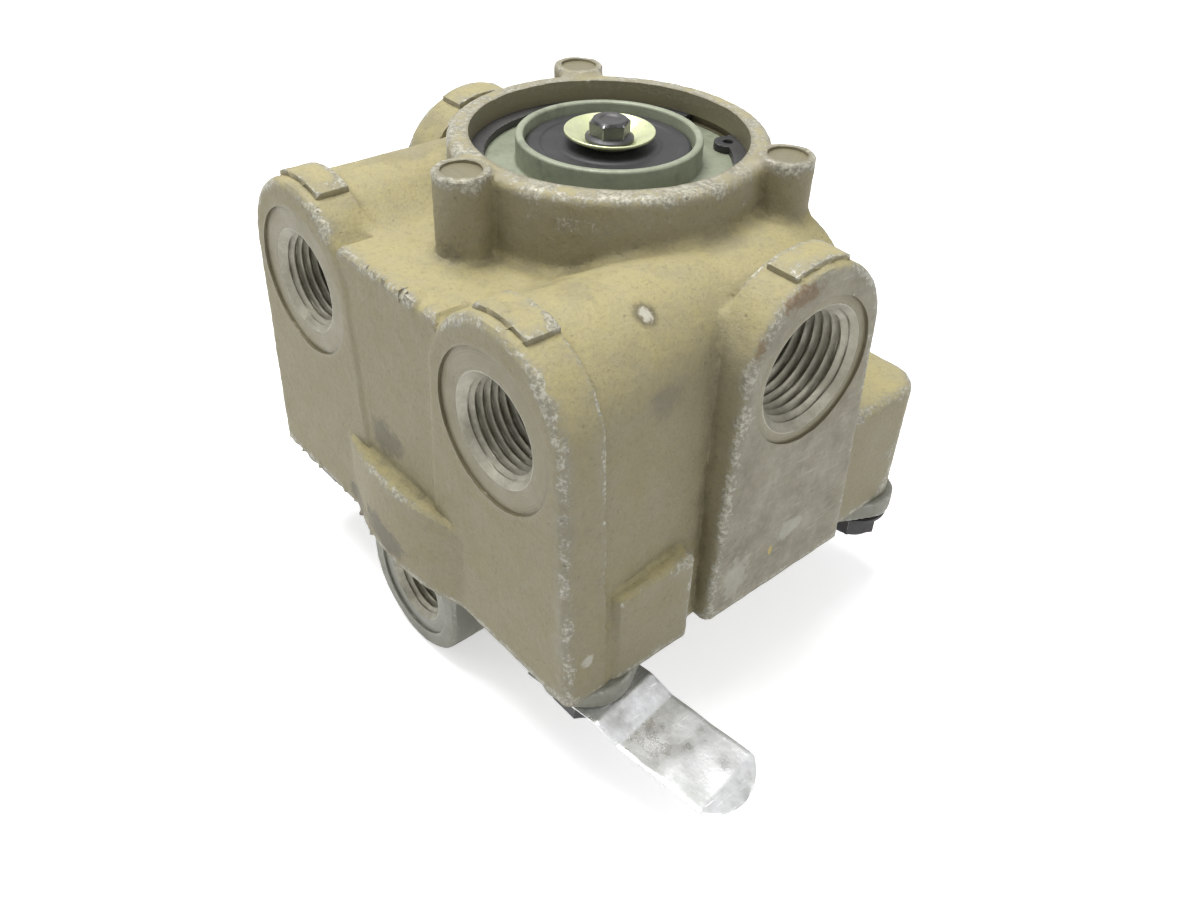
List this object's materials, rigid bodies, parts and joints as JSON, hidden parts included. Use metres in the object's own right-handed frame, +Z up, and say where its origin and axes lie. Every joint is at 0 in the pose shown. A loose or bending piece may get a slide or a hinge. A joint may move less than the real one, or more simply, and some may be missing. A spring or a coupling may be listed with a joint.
{
  "type": "trailer relay valve",
  "caption": "Air brake relay valve for a trailer: a cast body with tapped side ports and an exhaust collar on top, standing on its cover with the control port.",
  "frame": {"origin": "where the bore axis meets the surface that the cover stands on", "axes": "+Z up along the bore axis to the exhaust port, -Y the face with the two smaller ports and the control port, +X the side with the tag"},
  "size_m": [0.1221, 0.0935, 0.0956],
  "materials": {
    "body_casting": "die cast, khaki chromate conversion coat, edges worn grey",
    "cover_casting": "bare die cast",
    "black_steel": "black phosphate",
    "seal_rubber": "matt nitrile",
    "tag_metal": "bright strip, scratched",
    "piston_alloy": "machined",
    "valve_brass": "turned",
    "spring_steel": "wire",
    "insert_alloy": "grey-green coat on alloy",
    "flap_rubber": "satin black rubber",
    "yellow_zinc": "yellow chromate zinc",
    "dark_screw": "black oxide"
  },
  "bodies": {
    "valve_body": {"body": "body_casting", "cover": "cover_casting", "cover_bolts": "black_steel", "bolt_washers": "black_steel", "cover_seal": "seal_rubber", "id_tag": "tag_metal", "valve_spring": "spring_steel", "spring_seat": "spring_steel", "exhaust_insert": "insert_alloy", "insert_seal": "seal_rubber", "lower_guide_seal": "seal_rubber", "upper_guide_seal": "seal_rubber", "snap_ring": "black_steel", "exhaust_flap": "flap_rubber", "flap_washer": "yellow_zinc", "flap_screw": "dark_screw"},
    "relay_piston": {"relay_piston": "piston_alloy", "piston_seal": "seal_rubber"},
    "inlet_valve": {"valve_tube": "valve_brass", "valve_rubber": "seal_rubber"}
  },
  "joints": [
    {"name": "piston_slide", "type": "slide", "parent": "valve_body", "child": "relay_piston", "axis": [0, 0, 1], "range_m": [0, 0.003]},
    {"name": "valve_slide", "type": "slide", "parent": "valve_body", "child": "inlet_valve", "axis": [0, 0, 1], "range_m": [0, 0.0015], "deforming": ["valve_spring"]}
  ],
  "couplings": [
    {"joint": "valve_slide", "follows": "piston_slide", "ratio": 0.5}
  ]
}
